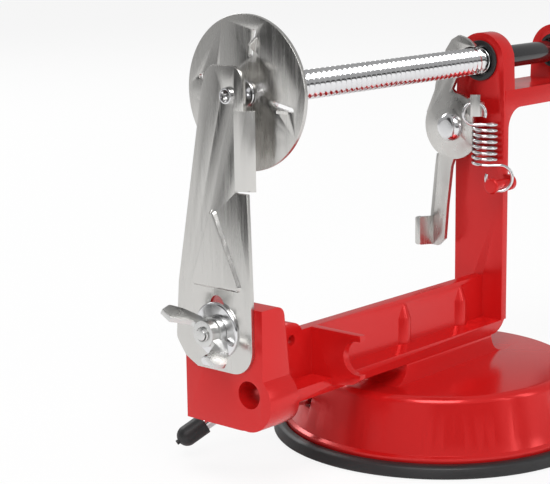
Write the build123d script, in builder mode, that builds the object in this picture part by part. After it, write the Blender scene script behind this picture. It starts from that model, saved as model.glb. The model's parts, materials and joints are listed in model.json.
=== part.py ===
from build123d import *
from math import cos, sin, radians, sqrt, pi
import os

os.makedirs("parts", exist_ok=True)

# Hand-cranked spiral potato cutter on a suction base.  Millimetres.
# X runs along the feed screw towards the crank, Y to the side that carries the suction
# lever, Z up.  The origin is on the table, at the centre of the suction cup.

# ---------------------------------------------------------------- driving dimensions
# feed screw and its height
axis_height = 137.2
screw_radius = 5.04
screw_pitch = 2.75
screw_front = -102.5
spigot_radius = 3.0
sleeve_radius = 4.25
running_gap = 0.05
seat_gap = 0.3
end_float = 0.1
bush_gap = 0.55
claw_gap = 0.6

# cast frame: a beam, an upright and an arm in a Z, with a block in front
frame_half_width = 11.0
flange_bottom = 33.4
flange_top = 37.8
web_half = 2.1
web_top = 54.5
upright_front = 27.1
upright_thickness = 3.2
arm_bottom = 119.3
arm_top = arm_bottom + 6.9
bearing_length = 7.4
bearing_radius = 10.4
eye_drop = 9.2
rear_bearing_front = 78.0
arm_fillet = 8.0
heel_fillet = 9.0
rear_rib_depth = 6.0
bush_radius = 6.8
bush_flange_radius = 7.6
bush_flange = 0.9

block_front = -110.8
block_top_depth = 10.7
block_bottom_depth = 15.0
block_near = -11.9
block_far = 22.9
block_bottom = 26.3
block_top = 68.2
block_fillet = 3.5
block_hole_y = -5.7
block_hole_z = 39.1
block_hole_radius = 4.7
block_bulge_radius = 10.4
block_bulge_y = -4.9
block_bulge_z = 36.8
lip_height = 3.0
lip_width = 1.8

ear_x = -85.3
ear_z = 51.8
ear_radius = 6.0
ear_hole_radius = 1.8

divider_x = -75.0
divider_thickness = 2.7
divider_reach = 23.5
divider_notch_z = 46.6
divider_notch_radius = 5.85
divider_notch_depth = 7.2

screw_boss_x = (-22.6, 12.4)
screw_boss_radius = 4.1
screw_boss_top = 47.0
screw_boss_tip = 53.0
frame_screw_radius = 2.0
frame_screw_head_radius = 3.6
frame_screw_head = 2.4

peg_y = -12.8
peg_radius = 1.8
peg_head_radius = 3.0
peg_tip = 16.0
peg_head_length = 1.3
peg_rear = 29.0

# suction base
cup_radius = 62.0
cup_rim_height = 4.6
cup_membrane = 2.6
housing_bottom = 3.7
housing_lip_radius = cup_radius - 4.7
housing_step_radius = cup_radius - 6.2
housing_step_z = 6.6
housing_shoulder_radius = cup_radius - 10.6
housing_shoulder_z = 23.6
housing_top_radius = cup_radius - 13.3
housing_top = 26.4
housing_wall = 2.4
pedestal_front = -33.0
pedestal_rear = 20.0
pedestal_flare = 7.0
slot_height = 6.5
slot_start = 88.0
slot_sweep = 69.0
plate_top = 11.5
plate_thickness = 2.2
post_circle = cup_radius - 26.0
post_radius = 4.0
post_angles = (20.0, 185.0, 290.0)
plate_screw_radius = 1.5
plate_screw_head_radius = 2.8
plate_screw_head = 1.8
stud_radius = 4.0
stud_foot_radius = 9.0
stud_foot = 2.4
stud_top = 18.6
cross_pin_radius = 1.5
cross_pin_half = 9.2
cam_radius = 15.0
cam_pocket = 10.0
cam_top = 21.2
cam_floor = 12.9
ramp_low = 14.0
ramp_gap = 0.25
ramp_run_out = 16.0
lift = 2.6
lever_swing = 60.0
lever_angle = 152.5
lever_z = 17.7
lever_rod_radius = 2.75
lever_elbow = 84.0
lever_tip_run = 15.5
lever_drop = 8.8
cap_radius = 3.8
cap_length = 15.0
lever_bend = 8.0

# blade and its clamp; outlines are (Y, Z) from the clamp bolt, or from the screw's axis
blade_lower = ((-15.1, 12.5), (-15.2, -13.8), (9.5, -13.8), (14.9, -11.0), (19.1, -5.3), (17.5, 14.1), (13.2, 37.2))
blade_upper = ((11.4, 2.0), (9.0, 9.5), (-6.0, 9.5), (-6.6, 0.0), (-7.5, -29.2))
blade_panel = ((1.0, 43.1), (12.1, 13.9), (-11.9, 13.9))
panel_height = 1.0
panel_corner = 1.8
panel_draft = 40.0
blade_thickness = 1.5
blade_bolt_y = 6.5
blade_bolt_z = 59.5
blade_bolt_radius = 2.4
blade_bolt_head_radius = 4.4
blade_bolt_head = 2.8
blade_bolt_length = 9.0
blade_slot_half = 3.0
blade_slot_top = 71.2
blade_slot_bottom = 56.0
blade_corner = 8.6
blade_top_corner = 5.0
blade_bend = 1.6
blade_hinge_y = -2.5
blade_edge_y = -9.0
edge_start_z = 106.0
guide_radius = 2.6
guide_bore = 2.0
guide_length = 4.0
lug_y = 9.2
lug_z = 48.5
lug_length = 7.4
lug_height = 2.9
blade_slot_gap = 0.3
washer_radius = 9.5
washer_thickness = 1.2
nut_radius = 5.2
nut_length = 5.6
wing_span = 15.0
wing_width = 8.4
wing_thickness = 1.8
wing_angle = 32.0

# pusher on the front end of the screw
disc_radius = 25.3
disc_thickness = 1.5
prong_inner = 12.0
prong_outer = 21.0
prong_length = 3.0
prong_count = 4
prong_turn = 12.0
disc_hub_radius = 8.0
disc_hub_length = 8.0
rivet_head_radius = 4.4
rivet_head = 1.0

# quick-release half nut; outlines are (Y, Z) from the pivot, or from the screw's axis
claw_outline = (
    (1.5, -4.2),
    (-1.6, 4.65),
    (-1.4, 6.0),
    (0.4, 7.4),
    (3.0, 8.8),
    (6.0, 9.6),
    (9.0, 7.9),
    (11.6, 4.2),
    (14.3, -1.7),
    (16.2, -8.1),
    (16.8, -11.7),
)
neck_outline = ((12.8, 4.5), (8.6, 1.6), (-4.4, 1.6))
ear_outline = ((-12.8, 4.6), (-12.8, 9.9), (-7.5, 11.3), (-4.3, 10.0), (1.0, 14.0), (-1.1, 18.3))
arm_outline = ((7.8, -11.2), (8.6, -16.4), (10.6, -35.5), (10.8, -47.2), (7.0, -47.3))
arm_return = ((4.0, -44.5), (2.9, -31.3), (1.0, -15.7), (-1.0, -10.2))
pivot_y = 7.8
pivot_z = 112.3
pivot_head_radius = 5.4
pivot_head = 3.0
pivot_radius = 2.5
lever_plate_front = 21.0
lever_plate = 1.8
dish_radius = 11.6
dish_inner = 5.8
dish_height = 1.8
lever_disc_radius = 12.7
jaw_radius = screw_radius + claw_gap
jaw_lead = radians(20)
jaw_reach = 4.2
plate_cut_y = -0.9
plate_cut_z = 116.9
tab_depth = 8.6
tab_rise = 1.2
tab_lip = 2.4
tab_corner = 1.0
tab_drop = 47.2
tab_height = 11.0
tab_thickness = 1.6
hook_width = 3.6
hook_tip = 125.9
hook_gap = 0.5
hook_upstand = 1.3

# release spring: a close coil with a loop turned out of its front at each end
wire_radius = 0.62
coil_radius = 4.35
coil_pitch = 2.2
coil_turns = 7
coil_x = 21.6
coil_y = -6.2
coil_bottom = 99.0
spring_turn = 41.8
top_loop_side = -4.5
top_loop_radius = 4.1
bottom_loop_side = 5.0
bottom_loop_radius = 4.9
loop_arc = 290.0

# crank
crank_length = 75.0
crank_width = 17.0
crank_thickness = 3.4
crank_clearance = 6.0
crank_nut_radius = 6.5
crank_nut_length = 6.5
knob_radius = 12.5
knob_neck_radius = 9.0
knob_length = 64.0
knob_pin_radius = 3.5

# ------------------------------------------------------------- sizes worked out of these
upright_rear = upright_front + upright_thickness
bearing_rear = upright_front + bearing_length
frame_end = rear_bearing_front + bearing_length
eye_seat = axis_height - eye_drop
eye_taper = (bearing_radius - frame_half_width) / (axis_height - arm_bottom - 1)
seat_half = bearing_radius - eye_taper * eye_drop
bush_bore = screw_radius + bush_gap
block_rear_top = block_front + block_top_depth
block_rear_bottom = block_front + block_bottom_depth
lever_plate_rear = lever_plate_front + lever_plate
blade_front = block_front - blade_thickness
disc_front = screw_front - disc_thickness
plate_bottom = plate_top - plate_thickness
roof_bottom = housing_top - housing_wall
pin_z = ramp_low + cross_pin_radius + ramp_gap
spring_front = (-cos(radians(spring_turn)), -sin(radians(spring_turn)))
spring_side = (sin(radians(spring_turn)), -cos(radians(spring_turn)))
coil_top = coil_bottom + coil_turns * coil_pitch
top_loop_z = coil_top + 0.1 + top_loop_radius
bottom_loop_z = coil_bottom - bottom_loop_radius
peg_z = bottom_loop_z - bottom_loop_radius + wire_radius + peg_radius + end_float
tab_bottom = pivot_z - tab_drop
tab_top = tab_bottom + tab_height
tab_y = pivot_y + arm_outline[3][0]
hook_stem_top = top_loop_z + sqrt((top_loop_radius - wire_radius) ** 2 - hook_width**2 / 4) - end_float
crank_front = frame_end + bush_flange + crank_clearance
sleeve_front = bearing_rear - 1.0
sleeve_rear = crank_front - end_float
knob_z = axis_height - crank_length
lever_dir = (cos(radians(lever_angle)), sin(radians(lever_angle)))


def spring_point(side, front, height):
    """A point by its offsets from the strand plane of the spring that faces the front block."""
    reach = coil_radius + front
    return Vector(
        coil_x + side * spring_side[0] + reach * spring_front[0],
        coil_y + side * spring_side[1] + reach * spring_front[1],
        height,
    )


# ---------------------------------------------------------------------- frame casting
with BuildPart() as frame_casting:
    # front block: side outline first, then cut to its front outline
    with BuildSketch(Plane.XZ.offset(-block_far)):
        with BuildLine():
            Polyline(
                (block_front, block_bottom),
                (block_rear_bottom, block_bottom),
                (block_rear_top, block_top),
                (block_front, block_top),
                close=True,
            )
        make_face()
    extrude(amount=block_far - block_near + block_bulge_radius)
    fillet(
        frame_casting.edges().filter_by(Axis.Y).sort_by(Axis.Z)[-2:].sort_by(Axis.X)[-1],
        radius=block_fillet,
    )
    with BuildSketch(Plane.YZ.offset(block_front)) as block_outline:
        with Locations(((block_near + block_far) / 2, (block_bottom + block_top) / 2)):
            Rectangle(block_far - block_near, block_top - block_bottom)
        fillet(
            block_outline.vertices().group_by(Axis.Y)[0].sort_by(Axis.X)[0],
            radius=block_bulge_radius,
        )
        with Locations((block_bulge_y, block_bulge_z)):
            Circle(block_bulge_radius)
        with Locations((block_far, block_bottom + lip_height / 2 + 0.6)):
            RectangleRounded(2 * lip_width, lip_height, lip_width / 2.1)
    extrude(amount=block_bottom_depth, mode=Mode.INTERSECT)

    # beam: flat flange with the web standing on it, and the ear on the web
    with BuildSketch(Plane.XZ) as flange_outline:
        with BuildLine():
            Polyline(
                (block_front + 5, flange_bottom),
                (upright_rear, flange_bottom),
                (upright_rear, flange_top + heel_fillet),
                (upright_front, flange_top + heel_fillet),
                (upright_front, flange_top),
                (block_front + 5, flange_top),
                close=True,
            )
        make_face()
        fillet(
            flange_outline.vertices().group_by(Axis.X)[-1].sort_by(Axis.Y)[0],
            radius=heel_fillet,
        )
    extrude(amount=frame_half_width, both=True)
    with BuildSketch(Plane.XZ):
        with BuildLine():
            Polyline(
                (block_front + 5, flange_bottom + 1),
                (upright_front + 1, flange_bottom + 1),
                (upright_front + 1, web_top),
                (block_front + 5, web_top),
                close=True,
            )
        make_face()
        with Locations((ear_x, ear_z)):
            Circle(ear_radius)
    extrude(amount=web_half, both=True)
    with BuildSketch(Plane.XZ):
        with Locations((ear_x, ear_z)):
            Circle(ear_hole_radius)
    extrude(amount=web_half * 2, both=True, mode=Mode.SUBTRACT)

    # upright, arm and the two bearing pillars
    for pillar_x, pillar_foot, pillar_length in (
        (upright_front, flange_top, upright_thickness),
        (upright_front, arm_bottom, bearing_length),
        (rear_bearing_front, arm_bottom, bearing_length),
    ):
        with BuildSketch(Plane.YZ.offset(pillar_x)):
            with BuildLine():
                Polyline(
                    (-frame_half_width, pillar_foot),
                    (frame_half_width, pillar_foot),
                    (frame_half_width, arm_bottom + 1),
                    (seat_half, eye_seat),
                    (-seat_half, eye_seat),
                    (-frame_half_width, arm_bottom + 1),
                    close=True,
                )
            make_face()
        extrude(amount=pillar_length)
    with BuildSketch(Plane.XZ):
        with BuildLine():
            Polyline(
                (upright_front + 1, arm_top),
                (upright_front + 1, arm_bottom - arm_fillet),
                (upright_rear, arm_bottom - arm_fillet),
            )
            RadiusArc(
                (upright_rear, arm_bottom - arm_fillet),
                (upright_rear + arm_fillet, arm_bottom),
                arm_fillet,
            )
            Polyline(
                (upright_rear + arm_fillet, arm_bottom),
                (frame_end, arm_bottom),
                (frame_end, arm_top),
                (upright_front + 1, arm_top),
            )
        make_face()
    extrude(amount=frame_half_width, both=True)
    # stiffening rib behind the upright
    with BuildSketch(Plane.XZ):
        with BuildLine():
            Polyline(
                (upright_front + 1, web_top - rear_rib_depth),
                (upright_rear, web_top - rear_rib_depth),
                (upright_rear + rear_rib_depth, web_top + rear_rib_depth),
                (upright_rear + rear_rib_depth, arm_bottom + 1),
                (upright_front + 1, arm_bottom + 1),
                close=True,
            )
        make_face()
    extrude(amount=web_half, both=True)

    # divider on the beam, with the half-round notch in its outer edge
    with BuildSketch(Plane.YZ.offset(divider_x)):
        with BuildLine():
            Polyline(
                (0, flange_bottom + 1),
                (0, web_top),
                (-divider_reach, web_top),
                (-divider_reach, divider_notch_z - divider_notch_radius - 1.4),
                (-divider_reach + 3, flange_top - 0.6),
                (-frame_half_width, flange_bottom + 2),
                close=True,
            )
        make_face()
        with Locations((-divider_reach + divider_notch_depth - divider_notch_radius, divider_notch_z)):
            Circle(divider_notch_radius, mode=Mode.SUBTRACT)
        with Locations((-divider_reach, divider_notch_z)):
            Rectangle(
                2 * (divider_notch_depth - divider_notch_radius),
                2 * divider_notch_radius,
                mode=Mode.SUBTRACT,
            )
    extrude(amount=divider_thickness)

    # half-round bosses in the web for the screws that hold the frame on its base
    for boss_x in screw_boss_x:
        with Locations((boss_x, 0, flange_top - 1)):
            Cylinder(
                screw_boss_radius,
                screw_boss_top - flange_top + 1,
                align=(Align.CENTER, Align.CENTER, Align.MIN),
            )
        with Locations((boss_x, 0, screw_boss_top)):
            Cone(
                screw_boss_radius,
                web_half,
                screw_boss_tip - screw_boss_top,
                align=(Align.CENTER, Align.CENTER, Align.MIN),
            )

    # boss that spaces the release lever off the upright
    with BuildSketch(Plane.YZ.offset(lever_plate_rear + end_float)):
        with Locations((pivot_y, pivot_z)):
            Circle(pivot_head_radius + 1.2)
    extrude(amount=upright_front - lever_plate_rear - end_float + 1)
    # peg for the spring on the edge of the upright
    with BuildSketch(Plane.YZ.offset(peg_tip + 1)):
        with Locations((peg_y, peg_z)):
            Circle(peg_radius)
    extrude(amount=peg_rear - peg_tip - 1)
    with BuildSketch(Plane.YZ.offset(upright_front)):
        with Locations((peg_y, peg_z)):
            Circle(peg_head_radius)
        with Locations(((peg_y - frame_half_width + 3) / 2, peg_z)):
            Rectangle(3 - peg_y - frame_half_width, 2 * peg_head_radius)
    extrude(amount=peg_rear - upright_front)
    with BuildSketch(Plane.YZ.offset(peg_tip)):
        with Locations((peg_y, peg_z)):
            Circle(peg_head_radius)
    extrude(amount=peg_head_length)
    fillet(
        frame_casting.edges().filter_by(GeomType.CIRCLE).sort_by(
            lambda edge: (edge.arc_center - Vector(peg_tip, peg_y, peg_z)).length
        )[0],
        radius=0.7,
    )

    # bores and holes
    with BuildSketch(Plane.YZ.offset(block_front - 1)):
        with Locations((block_hole_y, block_hole_z)):
            Circle(block_hole_radius)
    extrude(amount=block_bottom_depth + 2, mode=Mode.SUBTRACT)
    with BuildSketch(Plane.YZ.offset(block_front - 1)):
        with Locations((blade_bolt_y, blade_bolt_z)):
            Circle(blade_bolt_radius + running_gap)
    extrude(amount=block_bottom_depth + 2, mode=Mode.SUBTRACT)
    with BuildSketch(Plane.YZ.offset(block_front + blade_bolt_length)):
        with Locations((blade_bolt_y, blade_bolt_z)):
            Circle(blade_bolt_head_radius + seat_gap)
    extrude(amount=block_bottom_depth, mode=Mode.SUBTRACT)
    with BuildSketch(Plane.YZ.offset(block_front)):
        with Locations((lug_y, lug_z)):
            SlotOverall(lug_length, lug_height)
    extrude(amount=3.0, mode=Mode.SUBTRACT)
    with BuildSketch(Plane.YZ.offset(lever_plate_front)):
        with Locations((pivot_y, pivot_z)):
            Circle(pivot_radius)
    extrude(amount=upright_rear - lever_plate_front + 1, mode=Mode.SUBTRACT)
    with Locations(*[(x, 0, flange_bottom - 1) for x in screw_boss_x]):
        Cylinder(
            frame_screw_radius,
            screw_boss_top - flange_bottom,
            align=(Align.CENTER, Align.CENTER, Align.MIN),
            mode=Mode.SUBTRACT,
        )
frame_casting.part.label = "frame_casting"
export_step(frame_casting.part, "parts/frame_casting.step")

# the bearing eyes of the same casting, parted from their pillars under the bores
for eye_name, eye_front in (("front_eye", upright_front), ("rear_eye", rear_bearing_front)):
    with BuildPart() as eye:
        with BuildSketch(Plane.YZ.offset(eye_front)):
            with BuildLine():
                Polyline(
                    (seat_half, eye_seat),
                    (bearing_radius, axis_height),
                    (-bearing_radius, axis_height),
                    (-seat_half, eye_seat),
                    close=True,
                )
            make_face()
            with Locations((0, axis_height)):
                Circle(bearing_radius)
            with Locations((0, eye_seat - bearing_radius)):
                Rectangle(2 * bearing_radius, 2 * bearing_radius, mode=Mode.SUBTRACT)
            with Locations((0, axis_height)):
                Circle(bush_radius, mode=Mode.SUBTRACT)
        extrude(amount=bearing_length)
    eye.part.label = eye_name
    export_step(eye.part, "parts/" + eye_name + ".step")


# ----------------------------------------------------------------------- base housing
with BuildPart() as base_housing:
    with BuildSketch(Plane.XZ):
        with BuildLine():
            Polyline(
                (0, housing_top),
                (housing_top_radius, housing_top),
            )
            RadiusArc(
                (housing_top_radius, housing_top),
                (housing_shoulder_radius, housing_shoulder_z),
                housing_top - housing_shoulder_z + 0.3,
            )
            Polyline(
                (housing_shoulder_radius, housing_shoulder_z),
                (housing_step_radius, housing_step_z),
                (housing_lip_radius, housing_step_z - 0.6),
                (housing_lip_radius, housing_bottom),
                (housing_lip_radius - housing_wall, housing_bottom),
                (housing_shoulder_radius - housing_wall, housing_shoulder_z - 1),
                (housing_top_radius - housing_wall, roof_bottom),
                (0, roof_bottom),
                (0, housing_top),
            )
        make_face()
    revolve(axis=Axis.Z)
    # pedestal that carries the beam, flared into the roof at both ends
    with BuildSketch(Plane.XZ):
        with BuildLine():
            Line((pedestal_front, flange_bottom), (pedestal_rear, flange_bottom))
            RadiusArc(
                (pedestal_rear, flange_bottom),
                (pedestal_rear + pedestal_flare, flange_bottom - pedestal_flare),
                -pedestal_flare,
            )
            Polyline(
                (pedestal_rear + pedestal_flare, flange_bottom - pedestal_flare),
                (pedestal_rear + pedestal_flare, roof_bottom + 1),
                (pedestal_front - pedestal_flare, roof_bottom + 1),
                (pedestal_front - pedestal_flare, flange_bottom - pedestal_flare),
            )
            RadiusArc(
                (pedestal_front - pedestal_flare, flange_bottom - pedestal_flare),
                (pedestal_front, flange_bottom),
                -pedestal_flare,
            )
        make_face()
    extrude(amount=frame_half_width + 0.4, both=True)
    # posts that the base plate is screwed to
    with Locations(
        *[(post_circle * cos(radians(a)), post_circle * sin(radians(a)), plate_top) for a in post_angles]
    ):
        Cylinder(
            post_radius,
            roof_bottom - plate_top + 1,
            align=(Align.CENTER, Align.CENTER, Align.MIN),
        )
        Cylinder(
            plate_screw_radius,
            8.0,
            align=(Align.CENTER, Align.CENTER, Align.MIN),
            mode=Mode.SUBTRACT,
        )
    with Locations(*[(x, 0, roof_bottom - 1) for x in screw_boss_x]):
        Cylinder(
            frame_screw_radius + running_gap,
            flange_bottom - roof_bottom + 2,
            align=(Align.CENTER, Align.CENTER, Align.MIN),
            mode=Mode.SUBTRACT,
        )
    # the two slots in the wall that the suction lever swings in
    for slot_turn in (slot_start, slot_start + 180):
        with BuildSketch(Plane.XZ.rotated((0, 0, slot_turn))):
            with Locations((housing_shoulder_radius, lever_z)):
                Rectangle(8 * housing_wall, slot_height)
        revolve(
            axis=Axis.Z,
            revolution_arc=slot_sweep,
            mode=Mode.SUBTRACT,
        )
base_housing.part.label = "base_housing"
export_step(base_housing.part, "parts/base_housing.step")

with BuildPart() as base_plate:
    with Locations((0, 0, plate_bottom)):
        Cylinder(
            post_circle + post_radius + 2,
            plate_thickness,
            align=(Align.CENTER, Align.CENTER, Align.MIN),
        )
    with Locations((0, 0, plate_bottom - 1)):
        Cylinder(
            stud_radius + seat_gap,
            plate_thickness + 2,
            align=(Align.CENTER, Align.CENTER, Align.MIN),
            mode=Mode.SUBTRACT,
        )
    with Locations(
        *[
            (post_circle * cos(radians(a)), post_circle * sin(radians(a)), plate_bottom - 1)
            for a in post_angles
        ]
    ):
        Cylinder(
            plate_screw_radius + running_gap,
            plate_thickness + 2,
            align=(Align.CENTER, Align.CENTER, Align.MIN),
            mode=Mode.SUBTRACT,
        )
base_plate.part.label = "base_plate"
export_step(base_plate.part, "parts/base_plate.step")

with BuildPart() as plate_screws:
    with Locations(
        *[
            (post_circle * cos(radians(a)), post_circle * sin(radians(a)), plate_bottom - plate_screw_head)
            for a in post_angles
        ]
    ):
        Cylinder(
            plate_screw_head_radius,
            plate_screw_head,
            align=(Align.CENTER, Align.CENTER, Align.MIN),
        )
        Cylinder(
            plate_screw_radius,
            plate_screw_head + plate_thickness + 7.0,
            align=(Align.CENTER, Align.CENTER, Align.MIN),
        )
plate_screws.part.label = "plate_screws"
export_step(plate_screws.part, "parts/plate_screws.step")

with BuildPart() as frame_screws:
    with Locations(*[(x, 0, roof_bottom - frame_screw_head) for x in screw_boss_x]):
        Cylinder(
            frame_screw_head_radius,
            frame_screw_head,
            align=(Align.CENTER, Align.CENTER, Align.MIN),
        )
        Cylinder(
            frame_screw_radius,
            frame_screw_head + screw_boss_top - roof_bottom - 2.0,
            align=(Align.CENTER, Align.CENTER, Align.MIN),
        )
frame_screws.part.label = "frame_screws"
export_step(frame_screws.part, "parts/frame_screws.step")


# ------------------------------------------------------------------------ suction cup
with BuildPart() as suction_cup:
    with BuildSketch(Plane.XZ):
        with BuildLine():
            Polyline(
                (0, 0),
                (cup_radius - 0.6, 0),
                (cup_radius, 0.8),
                (cup_radius - 0.9, cup_rim_height - 0.7),
                (cup_radius - 2.2, cup_rim_height),
                (housing_lip_radius + seat_gap, cup_rim_height),
                (housing_lip_radius + seat_gap, housing_bottom),
                (housing_lip_radius - housing_wall - 4, housing_bottom),
                (housing_lip_radius - housing_wall - 8, cup_membrane),
                (stud_foot_radius + 6, cup_membrane),
                (stud_foot_radius + 4, cup_membrane + stud_foot),
                (stud_foot_radius + seat_gap, cup_membrane + stud_foot),
                (stud_foot_radius + seat_gap, cup_membrane),
                (0, cup_membrane),
                close=True,
            )
        make_face()
    revolve(axis=Axis.Z)
suction_cup.part.label = "suction_cup"
export_step(suction_cup.part, "parts/suction_cup.step")

with BuildPart() as cup_stud:
    with BuildSketch(Plane.XZ):
        with BuildLine():
            Polyline(
                (0, cup_membrane),
                (stud_foot_radius, cup_membrane),
                (stud_foot_radius, cup_membrane + stud_foot),
                (stud_radius, cup_membrane + stud_foot + 1.5),
                (stud_radius, stud_top - 0.8),
                (stud_radius - 0.8, stud_top),
                (0, stud_top),
                close=True,
            )
        make_face()
    revolve(axis=Axis.Z)
    with Locations(Location((0, 0, pin_z), (90, 0, 0))):
        Cylinder(cross_pin_radius, 4 * stud_radius, mode=Mode.SUBTRACT)
cup_stud.part.label = "cup_stud"
export_step(cup_stud.part, "parts/cup_stud.step")

with BuildPart() as cross_pin:
    with Locations(Location((0, 0, pin_z), (90, 0, 0))):
        Cylinder(cross_pin_radius, 2 * cross_pin_half)
cross_pin.part.label = "cross_pin"
export_step(cross_pin.part, "parts/cross_pin.step")


# -------------------------------------------------------------- suction lever and cam
with BuildPart() as cam_ring:
    with Locations((0, 0, plate_top + end_float)):
        Cylinder(
            cam_radius,
            cam_top - plate_top - end_float,
            align=(Align.CENTER, Align.CENTER, Align.MIN),
        )
    with Locations((0, 0, cam_floor)):
        Cylinder(
            cam_pocket,
            cam_top - cam_floor + 1,
            align=(Align.CENTER, Align.CENTER, Align.MIN),
            mode=Mode.SUBTRACT,
        )
    # two helical ramps in the pocket, one under each end of the cross pin
    for ramp_start in (90.0, 270.0):
        for step in range(7):
            travel = -ramp_run_out + step * (lever_swing + 2 * ramp_run_out) / 6
            turn = radians(ramp_start + travel)
            section = Plane(
                origin=(0, 0, 0),
                x_dir=(cos(turn), sin(turn), 0),
                z_dir=(sin(turn), -cos(turn), 0),
            )
            with BuildSketch(section):
                with BuildLine():
                    Polyline(
                        (stud_radius + 0.1, cam_floor - 0.5),
                        (cam_pocket + 0.4, cam_floor - 0.5),
                        (cam_pocket + 0.4, ramp_low + lift * travel / lever_swing),
                        (stud_radius + 0.1, ramp_low + lift * travel / lever_swing),
                        close=True,
                    )
                make_face()
        loft(ruled=True)
    with Locations((0, 0, plate_top - 1)):
        Cylinder(
            stud_radius + running_gap,
            cam_top - plate_top + 2,
            align=(Align.CENTER, Align.CENTER, Align.MIN),
            mode=Mode.SUBTRACT,
        )
    with BuildSketch(
        Plane(origin=(0, 0, lever_z), x_dir=(0, 0, 1), z_dir=(lever_dir[0], lever_dir[1], 0))
    ):
        Circle(lever_rod_radius)
    extrude(amount=cam_radius + 1, mode=Mode.SUBTRACT)
cam_ring.part.label = "cam_ring"
export_step(cam_ring.part, "parts/cam_ring.step")

lever_tip = lever_elbow + lever_tip_run
elbow_drop = lever_drop / lever_tip_run
with BuildPart() as lever_rod:
    with BuildLine() as rod_path:
        FilletPolyline(
            (cam_pocket * lever_dir[0], cam_pocket * lever_dir[1], lever_z),
            (lever_elbow * lever_dir[0], lever_elbow * lever_dir[1], lever_z),
            (lever_tip * lever_dir[0], lever_tip * lever_dir[1], lever_z - lever_drop),
            radius=lever_bend,
        )
    with BuildSketch(Plane(origin=rod_path.line @ 0, z_dir=rod_path.line % 0)):
        Circle(lever_rod_radius)
    sweep()
    # the pocket in the cam ring stays clear of the rod's inner end
    with Locations((0, 0, lever_z)):
        Cylinder(cam_pocket + 0.2, 3 * lever_rod_radius, mode=Mode.SUBTRACT)
lever_rod.part.label = "lever_rod"
export_step(lever_rod.part, "parts/lever_rod.step")

# rubber sleeve on the end of the rod, with a rounded tip and a nub
tip_dir = Vector(lever_dir[0], lever_dir[1], -elbow_drop).normalized()
tip_point = Vector(lever_tip * lever_dir[0], lever_tip * lever_dir[1], lever_z - lever_drop)
cap_plane = Plane(origin=tip_point, x_dir=(-lever_dir[1], lever_dir[0], 0), z_dir=tip_dir)
with BuildPart() as lever_cap:
    with BuildSketch(cap_plane.offset(-cap_length / 2)):
        Circle(cap_radius)
    extrude(amount=cap_length / 2)
    with Locations(Location(tip_point)):
        Sphere(cap_radius)
    with BuildSketch(cap_plane.offset(cap_radius - 0.8)):
        Circle(0.9)
    extrude(amount=1.6)
    with BuildSketch(cap_plane.offset(-cap_length)):
        Circle(lever_rod_radius)
    extrude(amount=cap_length + 0.01, mode=Mode.SUBTRACT)
lever_cap.part.label = "lever_cap"
export_step(lever_cap.part, "parts/lever_cap.step")


# ------------------------------------------------------------------------- lead screw
with BuildPart() as lead_screw:
    for radius, start, end in (
        (screw_radius, screw_front, sleeve_front - end_float),
        (spigot_radius, screw_front - disc_thickness - rivet_head, crank_front + crank_thickness + 5.0),
        (rivet_head_radius, disc_front - rivet_head, disc_front),
    ):
        with BuildSketch(Plane.YZ.offset(start)):
            with Locations((0, axis_height)):
                Circle(radius)
        extrude(amount=end - start)
lead_screw.part.label = "lead_screw"
export_step(lead_screw.part, "parts/lead_screw.step")

with BuildPart() as shaft_sleeve:
    with BuildSketch(Plane.YZ.offset(sleeve_front)):
        with Locations((0, axis_height)):
            Circle(sleeve_radius)
            Circle(spigot_radius + running_gap, mode=Mode.SUBTRACT)
    extrude(amount=sleeve_rear - sleeve_front)
shaft_sleeve.part.label = "shaft_sleeve"
export_step(shaft_sleeve.part, "parts/shaft_sleeve.step")

for bush_name, bush_start, flange_start in (
    ("front_bush", upright_front, upright_front - bush_flange),
    ("rear_bush", rear_bearing_front, frame_end),
):
    with BuildPart() as bush:
        with BuildSketch(Plane.YZ.offset(bush_start)):
            with Locations((0, axis_height)):
                Circle(bush_radius)
                Circle(bush_bore, mode=Mode.SUBTRACT)
        extrude(amount=bearing_length)
        with BuildSketch(Plane.YZ.offset(flange_start)):
            with Locations((0, axis_height)):
                Circle(bush_flange_radius)
                Circle(bush_bore, mode=Mode.SUBTRACT)
        extrude(amount=bush_flange)
    bush.part.label = bush_name
    export_step(bush.part, "parts/" + bush_name + ".step")

# ------------------------------------------------------------------------ pusher disc
with BuildPart() as pusher_disc:
    with BuildSketch(Plane.YZ.offset(disc_front)):
        with Locations((0, axis_height)):
            Circle(disc_radius)
            Circle(spigot_radius, mode=Mode.SUBTRACT)
            # slots that the prongs were pressed out of
            with PolarLocations(0, prong_count, start_angle=180 + prong_turn):
                with Locations(((prong_inner + prong_outer) / 2, 0)):
                    SlotOverall(prong_outer - prong_inner, 1.6, mode=Mode.SUBTRACT)
    extrude(amount=disc_thickness)
    for prong in range(prong_count):
        angle = radians(180 + prong_turn + prong * 360 / prong_count)
        prong_plane = Plane(
            origin=(disc_front, 0, axis_height),
            x_dir=(0, cos(angle), sin(angle)),
            z_dir=(0, -sin(angle), cos(angle)),
        )
        with BuildSketch(prong_plane.offset(0.8)):
            with BuildLine():
                Polyline(
                    (prong_inner + 1.5, -disc_thickness / 2),
                    (prong_outer - 1.5, -disc_thickness / 2),
                    ((prong_inner + prong_outer) / 2, prong_length),
                    close=True,
                )
            make_face()
        extrude(amount=1.0)
pusher_disc.part.label = "pusher_disc"
export_step(pusher_disc.part, "parts/pusher_disc.step")

with BuildPart() as disc_hub:
    with BuildSketch(Plane.YZ.offset(screw_front)):
        with Locations((0, axis_height)):
            Circle(disc_hub_radius)
            Circle(screw_radius, mode=Mode.SUBTRACT)
    extrude(amount=disc_hub_length)
    chamfer(disc_hub.edges().group_by(Axis.X)[-1].sort_by(SortBy.LENGTH)[-1], length=1.2)
disc_hub.part.label = "disc_hub"
export_step(disc_hub.part, "parts/disc_hub.step")


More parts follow.
